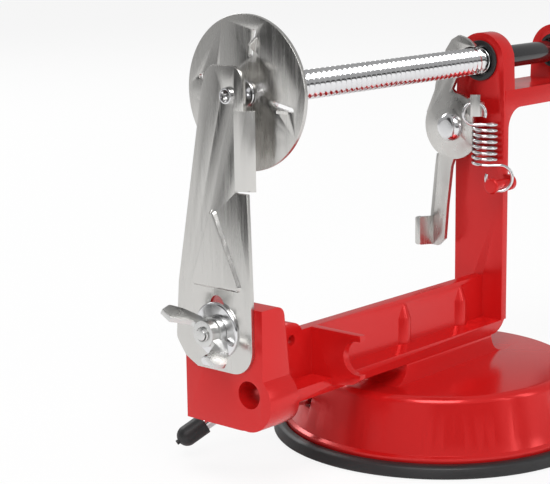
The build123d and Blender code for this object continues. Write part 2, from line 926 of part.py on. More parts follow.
# ---------------------------------------------------------------------- blade, clamped
blade_plane = Plane(origin=(block_front, 0, 0), x_dir=(0, -1, 0), z_dir=(-1, 0, 0))
with BuildPart() as blade_plate:
    with BuildSketch(Plane.YZ.offset(blade_front)) as blade_outline:
        with BuildLine():
            Polyline(
                *[(blade_bolt_y + y, blade_bolt_z + z) for y, z in blade_lower],
                *[(y, axis_height + z) for y, z in blade_upper],
                close=True,
            )
        make_face()
        fillet(blade_outline.vertices().group_by(Axis.Y)[0].sort_by(Axis.X)[0], radius=blade_corner)
        fillet(blade_outline.vertices().group_by(Axis.Y)[-1], radius=blade_top_corner)
        fillet(blade_outline.vertices().sort_by(Axis.X)[-1], radius=blade_corner / 2)
    extrude(amount=blade_thickness)
    # pressed stiffening panel
    for start, panel_mode in ((blade_thickness, Mode.ADD), (0.0, Mode.SUBTRACT)):
        with BuildSketch(blade_plane.offset(start)) as panel:
            with BuildLine():
                Polyline(
                    *[(-blade_bolt_y - y, blade_bolt_z + z) for y, z in blade_panel],
                    close=True,
                )
            make_face()
            fillet(panel.vertices(), radius=panel_corner)
        extrude(amount=panel_height, taper=panel_draft, mode=panel_mode)
    # cutting edge: the near edge is slit free, bent towards the disc and sharpened
    with BuildSketch(Plane.XY.offset(edge_start_z)):
        with Locations((block_front - blade_thickness / 2, blade_hinge_y - 5.5)):
            Rectangle(3 * blade_thickness, 11.0)
    extrude(amount=axis_height - guide_radius - 2.0 - edge_start_z, mode=Mode.SUBTRACT)
    with BuildSketch(Plane.XY.offset(edge_start_z + 0.6)):
        with BuildLine():
            Polyline(
                (blade_front, blade_hinge_y),
                (block_front, blade_hinge_y),
                (block_front + blade_bend, blade_edge_y + 0.3),
                (block_front + blade_bend, blade_edge_y),
                (blade_front + blade_bend, blade_edge_y + 2.6),
                close=True,
            )
        make_face()
    extrude(amount=axis_height - guide_radius - 2.6 - edge_start_z)
    # slot over the clamp bolt, slot over the locating key, hole for the core tube
    with BuildSketch(Plane.YZ.offset(blade_front - 2)):
        with Locations((blade_bolt_y, (blade_slot_top + blade_slot_bottom) / 2)):
            SlotOverall(
                blade_slot_top - blade_slot_bottom,
                2 * blade_slot_half,
                rotation=90,
            )
        with Locations((lug_y, lug_z)):
            SlotOverall(lug_length + 2 * blade_slot_gap, lug_height + 2 * blade_slot_gap)
        with Locations((0, axis_height)):
            Circle(guide_radius)
    extrude(amount=4 * blade_thickness, mode=Mode.SUBTRACT)
blade_plate.part.label = "blade_plate"
export_step(blade_plate.part, "parts/blade_plate.step")

with BuildPart() as core_tube:
    with BuildSketch(Plane.YZ.offset(blade_front - 1.2)):
        with Locations((0, axis_height)):
            Circle(guide_radius)
            Circle(guide_bore, mode=Mode.SUBTRACT)
    extrude(amount=guide_length)
core_tube.part.label = "core_tube"
export_step(core_tube.part, "parts/core_tube.step")

with BuildPart() as blade_bolt:
    for radius, start, end in (
        (blade_bolt_radius, blade_front - washer_thickness - nut_length - 1.4, block_front + blade_bolt_length),
        (blade_bolt_head_radius, block_front + blade_bolt_length, block_front + blade_bolt_length + blade_bolt_head),
    ):
        with BuildSketch(Plane.YZ.offset(start)):
            with Locations((blade_bolt_y, blade_bolt_z)):
                Circle(radius)
        extrude(amount=end - start)
    chamfer(blade_bolt.edges().group_by(Axis.X)[0], length=0.5)
    fillet(blade_bolt.edges().group_by(Axis.X)[-1], radius=1.4)
blade_bolt.part.label = "blade_bolt"
export_step(blade_bolt.part, "parts/blade_bolt.step")

with BuildPart() as blade_washer:
    with BuildSketch(Plane.YZ.offset(blade_front - washer_thickness)):
        with Locations((blade_bolt_y, blade_bolt_z)):
            Circle(washer_radius)
            Circle(blade_bolt_radius + running_gap, mode=Mode.SUBTRACT)
    extrude(amount=washer_thickness)
    fillet(blade_washer.edges().group_by(Axis.X)[0].sort_by(SortBy.LENGTH)[-1], radius=0.8)
blade_washer.part.label = "blade_washer"
export_step(blade_washer.part, "parts/blade_washer.step")

with BuildPart() as locating_key:
    with BuildSketch(Plane.YZ.offset(blade_front - 1.6)):
        with Locations((lug_y, lug_z)):
            SlotOverall(lug_length, lug_height)
    extrude(amount=1.6 + blade_thickness + 3.0)
locating_key.part.label = "locating_key"
export_step(locating_key.part, "parts/locating_key.step")

nut_rear = blade_front - washer_thickness - end_float
with BuildPart() as wing_nut:
    with BuildSketch(Plane.YZ.offset(nut_rear - nut_length)):
        with Locations((blade_bolt_y, blade_bolt_z)):
            Circle(nut_radius - 0.8)
    extrude(amount=nut_length)
    with BuildSketch(Plane.YZ.offset(nut_rear - 2.4)):
        with Locations((blade_bolt_y, blade_bolt_z)):
            Circle(nut_radius)
    extrude(amount=2.4)
    for side in (0.0, 180.0):
        wing_turn = radians(wing_angle + side)
        wing_plane = Plane(
            origin=(nut_rear, blade_bolt_y, blade_bolt_z),
            x_dir=(0, cos(wing_turn), sin(wing_turn)),
            z_dir=(0, -sin(wing_turn), cos(wing_turn)),
        )
        with BuildSketch(wing_plane) as wing:
            with BuildLine():
                Polyline(
                    (blade_bolt_radius + 0.8, 0.3),
                    (nut_radius + 1.5, 0.8),
                    (wing_span - 3.0, 4.8),
                    (wing_span, 8.6),
                    (wing_span - 1.2, 12.8),
                    (wing_span - 5.6, 12.6),
                    (nut_radius + 0.6, nut_length),
                    (blade_bolt_radius + 0.8, nut_length - 0.4),
                    close=True,
                )
            make_face()
            fillet(wing.vertices().group_by(Axis.X)[-1], radius=1.6)
        extrude(amount=wing_thickness / 2, both=True)
    with BuildSketch(Plane.YZ.offset(nut_rear - 2 * nut_length)):
        with Locations((blade_bolt_y, blade_bolt_z)):
            Circle(blade_bolt_radius + running_gap)
    extrude(amount=3 * nut_length, mode=Mode.SUBTRACT)
wing_nut.part.label = "wing_nut"
export_step(wing_nut.part, "parts/wing_nut.step")


# --------------------------------------------------------------------- release lever
with BuildPart() as release_lever:
    with BuildSketch(Plane.YZ.offset(lever_plate_front)) as lever_outline:
        with Locations((pivot_y + 0.6, pivot_z)):
            Circle(lever_disc_radius)
        with BuildLine():
            Polyline(
                *[(pivot_y + y, pivot_z + z) for y, z in ear_outline],
                *[(y, axis_height + z) for y, z in claw_outline],
                *[(pivot_y + y, pivot_z + z) for y, z in neck_outline],
                close=True,
            )
        make_face()
        with BuildLine():
            Polyline(
                *[(pivot_y + y, pivot_z + z) for y, z in arm_outline + arm_return],
                close=True,
            )
        make_face()
        with Locations((plate_cut_y - 10, plate_cut_z - 15)):
            Rectangle(20, 30, mode=Mode.SUBTRACT)
        with Locations((0, axis_height)):
            Circle(jaw_radius, mode=Mode.SUBTRACT)
        with BuildLine():
            Polyline(
                (0, axis_height),
                (jaw_radius * cos(jaw_lead), axis_height - jaw_radius * sin(jaw_lead)),
                (
                    jaw_radius * cos(jaw_lead) - jaw_reach * sin(jaw_lead),
                    axis_height - jaw_radius * sin(jaw_lead) - jaw_reach * cos(jaw_lead),
                ),
                (-jaw_radius, axis_height - jaw_radius * sin(jaw_lead) - jaw_reach * cos(jaw_lead)),
                (-jaw_radius, axis_height),
                close=True,
            )
        make_face(mode=Mode.SUBTRACT)
        with Locations((-9.0, axis_height)):
            Rectangle(15.0, 7.0, mode=Mode.SUBTRACT)
    extrude(amount=lever_plate)
    # pressed dish round the pivot
    dish_front = lever_plate_front - dish_height
    with BuildSketch(Plane.YZ.offset(lever_plate_front)) as dish_rim:
        with Locations((pivot_y + 0.6, pivot_z)):
            Circle(dish_radius)
        with Locations((plate_cut_y - 10, plate_cut_z - 15)):
            Rectangle(20, 60, mode=Mode.SUBTRACT)
    with BuildSketch(Plane.YZ.offset(dish_front)) as dish_top:
        with Locations((pivot_y + 0.6, pivot_z)):
            Circle(dish_inner)
        with Locations((plate_cut_y + 0.4 - 10, plate_cut_z - 15)):
            Rectangle(20, 60, mode=Mode.SUBTRACT)
    loft()
    with BuildSketch(Plane.YZ.offset(lever_plate_front - dish_height)):
        with Locations((pivot_y, pivot_z)):
            Circle(pivot_radius + running_gap)
    extrude(amount=3 * lever_plate, mode=Mode.SUBTRACT)
    # finger tab folded forward from the lower end of the arm, with a lip at its end
    tab_end = lever_plate_front - tab_depth
    with BuildSketch(Plane.XZ.offset(-tab_y)) as tab_outline:
        with BuildLine():
            Polyline(
                (lever_plate_rear, tab_bottom),
                (tab_end, tab_bottom + tab_rise),
                (tab_end, tab_top + tab_rise),
                (lever_plate_rear, tab_top),
                close=True,
            )
        make_face()
        fillet(tab_outline.vertices().group_by(Axis.X)[0], radius=tab_corner)
    extrude(amount=tab_thickness)
    with BuildSketch(Plane.YZ.offset(tab_end)) as tab_lip_outline:
        with Locations((tab_y - tab_thickness + tab_lip / 2, (tab_bottom + tab_top) / 2 + tab_rise)):
            RectangleRounded(tab_lip, tab_top - tab_bottom, tab_corner)
    extrude(amount=tab_thickness)
    # hook for the spring: a stem through the loop and an upstand in front of it
    hook_plane = Plane(
        origin=spring_point(top_loop_side, 0.0, 0.0),
        x_dir=(-spring_front[0], -spring_front[1], 0),
        z_dir=(spring_side[0], spring_side[1], 0),
    )
    stem_end = (lever_plate_front - hook_plane.origin.X) / -spring_front[0] + 1.0
    hook_rear = -wire_radius - hook_gap
    with BuildSketch(hook_plane.offset(-hook_width / 2)):
        with BuildLine():
            Polyline(
                (stem_end, plate_cut_z + 0.9),
                (hook_rear - hook_upstand, plate_cut_z + 0.9),
                (hook_rear - hook_upstand, hook_tip),
                (hook_rear, hook_tip),
                (hook_rear, hook_stem_top),
                (stem_end, hook_stem_top),
                close=True,
            )
        make_face()
    extrude(amount=hook_width)
release_lever.part.label = "release_lever"
export_step(release_lever.part, "parts/release_lever.step")

with BuildPart() as pivot_screw:
    with BuildSketch(Plane.YZ.offset(dish_front - end_float)):
        with Locations((pivot_y, pivot_z)):
            Circle(pivot_radius)
    extrude(amount=upright_rear - dish_front + end_float)
    with BuildSketch(Plane.YZ.offset(dish_front - end_float - pivot_head)):
        with Locations((pivot_y, pivot_z)):
            Circle(pivot_head_radius)
    extrude(amount=pivot_head)
    fillet(pivot_screw.edges().group_by(Axis.X)[0], radius=pivot_head * 0.9)
pivot_screw.part.label = "pivot_screw"
export_step(pivot_screw.part, "parts/pivot_screw.step")


# -------------------------------------------------------------------- release spring
def arc_pair(start, start_dir, end, end_dir):
    """Two tangent arcs from start to end that keep both directions."""
    gap = end - start
    spread = 2 * (start_dir.dot(end_dir) - 1)
    reach = 2 * gap.dot(start_dir + end_dir)
    square = gap.dot(gap)
    if abs(spread) < 1e-9:
        handle = square / reach
    else:
        handle = (reach - sqrt(reach * reach - 4 * spread * square)) / (2 * spread)
        if handle < 0:
            handle = (reach + sqrt(reach * reach - 4 * spread * square)) / (2 * spread)
    first = start + start_dir * handle
    second = end - end_dir * handle
    middle = (first + second) * 0.5
    TangentArc(start, middle, tangent=start_dir)
    TangentArc(middle, end, tangent=(second - first).normalized())


def loop_knot(centre_side, centre_z, radius, angle, sense):
    turn = radians(angle)
    point = spring_point(centre_side + radius * cos(turn), 0.0, centre_z + radius * sin(turn))
    across = -sin(turn) * sense
    return point, Vector(across * spring_side[0], across * spring_side[1], cos(turn) * sense)


coil_slope = coil_pitch / (2 * pi * coil_radius)
knots = []
for part_turn in range(5):
    knots.append(
        loop_knot(
            bottom_loop_side,
            bottom_loop_z,
            bottom_loop_radius,
            90 - loop_arc + part_turn * loop_arc / 4,
            1,
        )
    )
for quarter in range(4 * coil_turns + 1):
    turn = radians(180 + spring_turn) - quarter * pi / 2
    knots.append(
        (
            Vector(
                coil_x + coil_radius * cos(turn),
                coil_y + coil_radius * sin(turn),
                coil_bottom + quarter * coil_pitch / 4,
            ),
            Vector(sin(turn), -cos(turn), coil_slope).normalized(),
        )
    )
for part_turn in range(5):
    knots.append(
        loop_knot(
            top_loop_side,
            top_loop_z,
            top_loop_radius,
            270 - part_turn * loop_arc / 4,
            -1,
        )
    )

with BuildPart() as release_spring:
    with BuildLine() as wire_path:
        for (here, here_dir), (there, there_dir) in zip(knots, knots[1:]):
            if here_dir.dot(there_dir) > 0.99999 and (there - here).normalized().dot(here_dir) > 0.99999:
                Line(here, there)
            else:
                arc_pair(here, here_dir, there, there_dir)
    with BuildSketch(Plane(origin=knots[0][0], z_dir=knots[0][1])):
        Circle(wire_radius)
    sweep()
release_spring.part.label = "release_spring"
export_step(release_spring.part, "parts/release_spring.step")

wire_points = [edge @ (step / 6) for edge in wire_path.wires()[0].edges() for step in range(6)]
least_gap = min(
    (a - b).length
    for i, a in enumerate(wire_points)
    for j, b in enumerate(wire_points)
    if j - i > 20
)
print("spring self gap", round(least_gap - 2 * wire_radius, 2), "mm")


# ------------------------------------------------------------------------------ crank
crank_rear = crank_front + crank_thickness
with BuildPart() as crank_arm:
    with BuildSketch(Plane.YZ.offset(crank_front)):
        with Locations((0, (axis_height + knob_z) / 2)):
            SlotCenterToCenter(crank_length, crank_width, rotation=90)
        with Locations((0, axis_height)):
            Circle(spigot_radius, mode=Mode.SUBTRACT)
        with Locations((0, knob_z)):
            Circle(knob_pin_radius, mode=Mode.SUBTRACT)
    extrude(amount=crank_thickness)
crank_arm.part.label = "crank_arm"
export_step(crank_arm.part, "parts/crank_arm.step")

with BuildPart() as crank_nut:
    with BuildSketch(Plane.YZ.offset(crank_rear)):
        with Locations((0, axis_height)):
            RegularPolygon(crank_nut_radius, 6)
    extrude(amount=crank_nut_length * 0.6)
    with BuildSketch(Plane.YZ.offset(crank_rear)):
        with Locations((0, axis_height)):
            Circle(crank_nut_radius * 0.8)
    extrude(amount=crank_nut_length + 2.0)
    fillet(crank_nut.edges().group_by(Axis.X)[-1], radius=3.0)
    with BuildSketch(Plane.YZ.offset(crank_rear)):
        with Locations((0, axis_height)):
            Circle(spigot_radius)
    extrude(amount=5.0, mode=Mode.SUBTRACT)
crank_nut.part.label = "crank_nut"
export_step(crank_nut.part, "parts/crank_nut.step")

knob_start = crank_rear + 0.6
knob_end = knob_start + knob_length
with BuildPart() as knob_pin:
    for radius, start, end in (
        (knob_pin_radius, crank_front - 1.2, knob_end + end_float),
        (knob_pin_radius + 1.6, crank_front - 1.2, crank_front),
        (knob_pin_radius + 2.0, knob_end + end_float, knob_end + end_float + 2.2),
    ):
        with BuildSketch(Plane.YZ.offset(start)):
            with Locations((0, knob_z)):
                Circle(radius)
        extrude(amount=end - start)
    fillet(knob_pin.edges().group_by(Axis.X)[-1], radius=1.4)
knob_pin.part.label = "knob_pin"
export_step(knob_pin.part, "parts/knob_pin.step")

with BuildPart() as crank_knob:
    with BuildSketch(Plane.XZ):
        with BuildLine():
            Line((knob_start, knob_z), (knob_start, knob_z + knob_neck_radius))
            Spline(
                (knob_start, knob_z + knob_neck_radius),
                (knob_start + 14.0, knob_z + knob_radius - 1.0),
                (knob_start + 38.0, knob_z + knob_radius),
                (knob_end - 6.0, knob_z + knob_radius - 1.6),
                (knob_end, knob_z + knob_neck_radius - 1.5),
            )
            Polyline(
                (knob_end, knob_z + knob_neck_radius - 1.5),
                (knob_end, knob_z),
                (knob_start, knob_z),
            )
        make_face()
    revolve(axis=Axis((0, 0, knob_z), (1, 0, 0)))
    with BuildSketch(Plane.YZ.offset(knob_start - 1)):
        with Locations((0, knob_z)):
            Circle(knob_pin_radius + running_gap)
    extrude(amount=knob_length + 2, mode=Mode.SUBTRACT)
crank_knob.part.label = "crank_knob"
export_step(crank_knob.part, "parts/crank_knob.step")
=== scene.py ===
"""Looks of a hand-cranked spiral cutter on a suction base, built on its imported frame."""

import json
from math import cos, pi, radians, sin

import bpy
from mathutils import Matrix, Vector


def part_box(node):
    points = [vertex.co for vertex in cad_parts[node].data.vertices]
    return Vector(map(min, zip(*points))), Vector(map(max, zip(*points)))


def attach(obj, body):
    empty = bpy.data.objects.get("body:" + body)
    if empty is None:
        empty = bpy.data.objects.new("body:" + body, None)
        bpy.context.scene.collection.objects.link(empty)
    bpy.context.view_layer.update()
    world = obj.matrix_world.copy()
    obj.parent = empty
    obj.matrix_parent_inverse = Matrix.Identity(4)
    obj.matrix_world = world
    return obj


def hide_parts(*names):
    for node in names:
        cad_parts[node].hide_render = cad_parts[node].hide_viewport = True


bl_info = {
    "name": "Spiral cutter looks",
    "version": (1, 0, 0),
    "blender": (4, 5, 0),
    "location": "View3D > Sidebar > Cutter",
    "description": "Finishes a hand-cranked spiral cutter and its studio",
    "category": "Object",
}

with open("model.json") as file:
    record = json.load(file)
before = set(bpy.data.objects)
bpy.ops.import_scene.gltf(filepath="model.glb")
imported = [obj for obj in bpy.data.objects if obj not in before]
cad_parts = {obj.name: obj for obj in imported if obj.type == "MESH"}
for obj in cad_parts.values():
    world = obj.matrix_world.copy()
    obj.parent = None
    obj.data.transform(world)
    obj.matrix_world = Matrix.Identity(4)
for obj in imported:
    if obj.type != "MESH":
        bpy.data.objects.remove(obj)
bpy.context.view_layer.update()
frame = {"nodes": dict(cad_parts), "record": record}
MM = 0.001

# the photograph's camera, from the fit to the cup, drum, frame and screw
CAMERA_PLACE = (-0.49560, -0.36272, 0.19813)
CAMERA_LENS = 109.29
CAMERA_SENSOR = 36.0
CAMERA_AZIMUTH = 41.85
CAMERA_DIP = 11.62
CAMERA_ROLL = 0.82

# the feed screw's plain ends and the clamp bolt's thread
SPIGOT_RADIUS = 3.0 * MM
THREAD_END = 24.9 * MM
THREAD_RUNOUT = 1.0 * MM
HUB_LENGTH = 8.0 * MM
DISC_THICKNESS = 1.5 * MM
RIVET_RADIUS = 4.4 * MM
BOLT_RADIUS = 2.4 * MM
BOLT_PITCH = 0.8 * MM
BOLT_THREAD_DEPTH = 0.45 * MM
BOLT_HEAD = 2.8 * MM

# how much of the floor's own glow the camera sees, and the world's two levels
FLOOR_GLOW = 0.86
WORLD_DIFFUSE = 0.42
WORLD_SEEN = 1.0

# name, place, size and power of each lamp
LAMPS = (
    ("key_lamp", (-0.9, -0.7, 1.3), (0.9, 0.9), 17.0),
    ("fill_lamp", (0.5, -1.5, 0.7), (0.8, 1.0), 7.0),
    ("back_lamp", (0.3, 1.3, 1.0), (1.2, 0.5), 9.0),
)

# name, place and size of each dark card
CARDS = (
    ("card_left", (-0.75, 0.35, 0.25), (0.28, 0.9)),
    ("card_low", (-0.45, -0.75, 0.10), (0.9, 0.16)),
    ("card_right", (0.25, -0.95, 0.35), (0.22, 0.9)),
    ("card_top", (-0.10, -0.15, 0.95), (0.25, 0.7)),
)


# ------------------------------------------------------------------------- settings
class CutterSettings(bpy.types.PropertyGroup):
    """Sizes and colours that change the cutter's looks."""

    enamel: bpy.props.FloatVectorProperty(
        name="Enamel",
        description="Colour of the red enamel on the castings",
        subtype="COLOR",
        size=3,
        min=0,
        max=1,
        default=(0.40, 0.003, 0.010),
    )
    steel: bpy.props.FloatVectorProperty(
        name="Steel",
        description="Colour of the stainless sheet parts",
        subtype="COLOR",
        size=3,
        min=0,
        max=1,
        default=(0.62, 0.61, 0.59),
    )
    chrome: bpy.props.FloatVectorProperty(
        name="Chrome",
        description="Colour of the plated screw and crank",
        subtype="COLOR",
        size=3,
        min=0,
        max=1,
        default=(0.74, 0.74, 0.75),
    )
    rubber: bpy.props.FloatVectorProperty(
        name="Rubber",
        description="Colour of the suction cup and the lever's tip",
        subtype="COLOR",
        size=3,
        min=0,
        max=1,
        default=(0.014, 0.014, 0.015),
    )
    thread_pitch: bpy.props.FloatProperty(
        name="Thread pitch",
        description="Travel of the feed screw in one turn",
        subtype="DISTANCE",
        unit="LENGTH",
        default=2.75 * MM,
    )
    thread_depth: bpy.props.FloatProperty(
        name="Thread depth",
        description="Depth of the feed screw's groove",
        subtype="DISTANCE",
        unit="LENGTH",
        default=1.15 * MM,
    )
    casting_edge: bpy.props.FloatProperty(
        name="Casting edge",
        description="Radius on the castings' outer edges",
        subtype="DISTANCE",
        unit="LENGTH",
        default=1.0 * MM,
    )
    sheet_edge: bpy.props.FloatProperty(
        name="Sheet edge",
        description="Radius on the edges of sheet steel",
        subtype="DISTANCE",
        unit="LENGTH",
        default=0.22 * MM,
    )


# ------------------------------------------------------------------- material pieces
def socket(tree, name, kind, way="INPUT", default=None):
    made = tree.interface.new_socket(name=name, in_out=way, socket_type=kind)
    if default is not None:
        made.default_value = default
    return made


def node(tree, kind, **values):
    """Adds a node and sets its properties, or its inputs where the name is an input's."""
    made = tree.nodes.new(kind)
    for name, value in values.items():
        if hasattr(made, name):
            setattr(made, name, value)
        else:
            made.inputs[name.replace("_", " ")].default_value = value
    return made


def new_group(name):
    tree = bpy.data.node_groups.new(name, "ShaderNodeTree")
    socket(tree, "Vector", "NodeSocketVector")
    return tree


def variation_group():
    """Slow colour drift, patchy roughness and a fine height, for any finish."""
    tree = new_group("surface_variation")
    socket(tree, "Color", "NodeSocketColor", default=(0.5, 0.5, 0.5, 1))
    socket(tree, "Drift", "NodeSocketFloat", default=0.1)
    socket(tree, "Roughness", "NodeSocketFloat", default=0.3)
    socket(tree, "Spread", "NodeSocketFloat", default=0.1)
    socket(tree, "Scale", "NodeSocketFloat", default=60.0)
    socket(tree, "Color", "NodeSocketColor", "OUTPUT")
    socket(tree, "Roughness", "NodeSocketFloat", "OUTPUT")
    socket(tree, "Height", "NodeSocketFloat", "OUTPUT")
    link = tree.links.new
    entry = node(tree, "NodeGroupInput")
    leave = node(tree, "NodeGroupOutput")
    slow = node(tree, "ShaderNodeTexNoise", Detail=3.0)
    fine = node(tree, "ShaderNodeTexNoise", Detail=2.0)
    finer = node(tree, "ShaderNodeMath", operation="MULTIPLY")
    finer.inputs[1].default_value = 14.0
    link(entry.outputs["Vector"], slow.inputs["Vector"])
    link(entry.outputs["Vector"], fine.inputs["Vector"])
    link(entry.outputs["Scale"], slow.inputs["Scale"])
    link(entry.outputs["Scale"], finer.inputs[0])
    link(finer.outputs[0], fine.inputs["Scale"])
    centre = node(tree, "ShaderNodeMath", operation="SUBTRACT")
    centre.inputs[1].default_value = 0.5
    link(slow.outputs["Fac"], centre.inputs[0])
    drift = node(tree, "ShaderNodeMath", operation="MULTIPLY_ADD")
    drift.inputs[2].default_value = 1.0
    link(centre.outputs[0], drift.inputs[0])
    link(entry.outputs["Drift"], drift.inputs[1])
    shade = node(tree, "ShaderNodeVectorMath", operation="SCALE")
    link(entry.outputs["Color"], shade.inputs[0])
    link(drift.outputs[0], shade.inputs["Scale"])
    link(shade.outputs[0], leave.inputs["Color"])
    patch = node(tree, "ShaderNodeMath", operation="MULTIPLY_ADD")
    patch.use_clamp = True
    link(centre.outputs[0], patch.inputs[0])
    link(entry.outputs["Spread"], patch.inputs[1])
    link(entry.outputs["Roughness"], patch.inputs[2])
    link(patch.outputs[0], leave.inputs["Roughness"])
    link(fine.outputs["Fac"], leave.inputs["Height"])
    return tree


def brushing_group():
    """Fine lines left by rolling or grinding; Stretch says across which axes they run."""
    tree = new_group("brushed_lines")
    socket(tree, "Stretch", "NodeSocketVector", default=(40, 900, 900))
    socket(tree, "Roughness", "NodeSocketFloat", default=0.3)
    socket(tree, "Spread", "NodeSocketFloat", default=0.15)
    socket(tree, "Roughness", "NodeSocketFloat", "OUTPUT")
    socket(tree, "Height", "NodeSocketFloat", "OUTPUT")
    link = tree.links.new
    entry = node(tree, "NodeGroupInput")
    leave = node(tree, "NodeGroupOutput")
    pulled = node(tree, "ShaderNodeVectorMath", operation="MULTIPLY")
    link(entry.outputs["Vector"], pulled.inputs[0])
    link(entry.outputs["Stretch"], pulled.inputs[1])
    lines = node(tree, "ShaderNodeTexNoise", Scale=1.0, Detail=4.0)
    link(pulled.outputs[0], lines.inputs["Vector"])
    centre = node(tree, "ShaderNodeMath", operation="SUBTRACT")
    centre.inputs[1].default_value = 0.5
    link(lines.outputs["Fac"], centre.inputs[0])
    rough = node(tree, "ShaderNodeMath", operation="MULTIPLY_ADD")
    rough.use_clamp = True
    link(centre.outputs[0], rough.inputs[0])
    link(entry.outputs["Spread"], rough.inputs[1])
    link(entry.outputs["Roughness"], rough.inputs[2])
    link(rough.outputs[0], leave.inputs["Roughness"])
    link(lines.outputs["Fac"], leave.inputs["Height"])
    return tree


def finish_material(name, color, metallic, roughness, **more):
    """A Principled material with drift in colour and roughness, and lines or peel in its height."""
    made = bpy.data.materials.new(name)
    made.use_nodes = True
    tree = made.node_tree
    link = tree.links.new
    shader = tree.nodes["Principled BSDF"]
    shader.inputs["Metallic"].default_value = metallic
    shader.inputs["IOR"].default_value = more.get("ior", 1.5)
    shader.inputs["Coat Weight"].default_value = more.get("coat", 0.0)
    shader.inputs["Coat Roughness"].default_value = more.get("coat_roughness", 0.03)
    place = node(tree, "ShaderNodeTexCoord")
    drift = node(tree, "ShaderNodeGroup", node_tree=bpy.data.node_groups["surface_variation"])
    drift.inputs["Color"].default_value = (*color, 1)
    drift.inputs["Drift"].default_value = more.get("drift", 0.12)
    drift.inputs["Roughness"].default_value = roughness
    drift.inputs["Spread"].default_value = more.get("spread", 0.08)
    drift.inputs["Scale"].default_value = more.get("scale", 60.0)
    link(place.outputs["Object"], drift.inputs["Vector"])
    link(drift.outputs["Color"], shader.inputs["Base Color"])
    bump = node(tree, "ShaderNodeBump", Strength=more.get("bump", 0.1))
    bump.inputs["Distance"].default_value = more.get("depth", 0.00005)
    link(bump.outputs["Normal"], shader.inputs["Normal"])
    if "stretch" in more:
        lines = node(tree, "ShaderNodeGroup", node_tree=bpy.data.node_groups["brushed_lines"])
        lines.inputs["Stretch"].default_value = more["stretch"]
        lines.inputs["Roughness"].default_value = roughness
        lines.inputs["Spread"].default_value = more.get("spread", 0.08) * 2
        link(place.outputs["Object"], lines.inputs["Vector"])
        link(lines.outputs["Roughness"], shader.inputs["Roughness"])
        link(lines.outputs["Height"], bump.inputs["Height"])
    else:
        link(drift.outputs["Roughness"], shader.inputs["Roughness"])
        link(drift.outputs["Height"], bump.inputs["Height"])
    return made


# ---------------------------------------------------------------------- mesh helpers
def deselect():
    if bpy.context.object and bpy.context.object.mode != "OBJECT":
        bpy.ops.object.mode_set(mode="OBJECT")
    bpy.ops.object.select_all(action="DESELECT")


def only(piece):
    deselect()
    piece.select_set(True)
    bpy.context.view_layer.objects.active = piece


def apply_modifier(piece, kind, **values):
    only(piece)
    made = piece.modifiers.new(kind.lower(), kind)
    for name, value in values.items():
        setattr(made, name, value)
    bpy.ops.object.modifier_apply(modifier=made.name)


def round_edges(piece, width, segments=3, angle=32.0):
    apply_modifier(
        piece,
        "BEVEL",
        width=width,
        segments=segments,
        limit_method="ANGLE",
        angle_limit=radians(angle),
        use_clamp_overlap=True,
        harden_normals=False,
        miter_outer="MITER_ARC",
    )


def smooth(piece, angle=40.0):
    only(piece)
    bpy.ops.object.shade_smooth_by_angle(angle=radians(angle))


def settle(piece, body, slot, material, *nodes):
    """Gives a finished piece its material, its body and the nodes that it stands for."""
    piece.data.materials.clear()
    piece.data.materials.append(bpy.data.materials[material])
    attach(piece, body)
    if nodes:
        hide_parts(*nodes)
    deselect()
    return piece


def body_of(name):
    for body, nodes in frame["record"]["behaviour"]["bodies"].items():
        if name in nodes:
            return body
    raise RuntimeError("no body holds " + name)


def slot_of(name):
    for row in frame["record"]["subparts"]:
        if row["node"] == name:
            return row["material_slot"]
    raise RuntimeError("no slot for " + name)


def worked_copy(name, edge, material, segments=3, angle=32.0, smooth_angle=40.0):
    """A copy of a solid with merged facets and rounded edges, in place of the plain one."""
    source = frame["nodes"][name]
    piece = source.copy()
    piece.data = source.data.copy()
    piece.name = name + "_finished"
    piece.parent = None
    piece.matrix_world = Matrix.Identity(4)
    bpy.context.scene.collection.objects.link(piece)
    only(piece)
    bpy.ops.object.mode_set(mode="EDIT")
    bpy.ops.mesh.select_all(action="SELECT")
    bpy.ops.mesh.remove_doubles(threshold=0.002 * MM)
    bpy.ops.mesh.dissolve_limited(angle_limit=radians(0.6))
    bpy.ops.mesh.customdata_custom_splitnormals_clear()
    bpy.ops.object.mode_set(mode="OBJECT")
    if edge:
        round_edges(piece, edge, segments, angle)
    smooth(piece, smooth_angle)
    return settle(piece, body_of(name), slot_of(name), material, name)


def one_casting(names, edge, material):
    """Solids that are one casting in the real thing, united into one skin with rounded edges."""
    whole = None
    for name in names:
        source = frame["nodes"][name]
        piece = source.copy()
        piece.data = source.data.copy()
        piece.parent = None
        piece.matrix_world = Matrix.Identity(4)
        bpy.context.scene.collection.objects.link(piece)
        only(piece)
        bpy.ops.object.mode_set(mode="EDIT")
        bpy.ops.mesh.select_all(action="SELECT")
        bpy.ops.mesh.remove_doubles(threshold=0.002 * MM)
        bpy.ops.mesh.customdata_custom_splitnormals_clear()
        bpy.ops.object.mode_set(mode="OBJECT")
        if whole is None:
            whole = piece
            continue
        apply_modifier(whole, "BOOLEAN", operation="UNION", solver="EXACT", object=piece)
        bpy.data.objects.remove(piece)
    whole.name = names[0] + "_finished"
    only(whole)
    bpy.ops.object.mode_set(mode="EDIT")
    bpy.ops.mesh.select_all(action="SELECT")
    bpy.ops.mesh.remove_doubles(threshold=0.002 * MM)
    bpy.ops.mesh.dissolve_limited(angle_limit=radians(0.6))
    bpy.ops.object.mode_set(mode="OBJECT")
    round_edges(whole, edge, 4, 28.0)
    smooth(whole, 50.0)
    return settle(whole, "frame", slot_of(names[0]), material, *names)


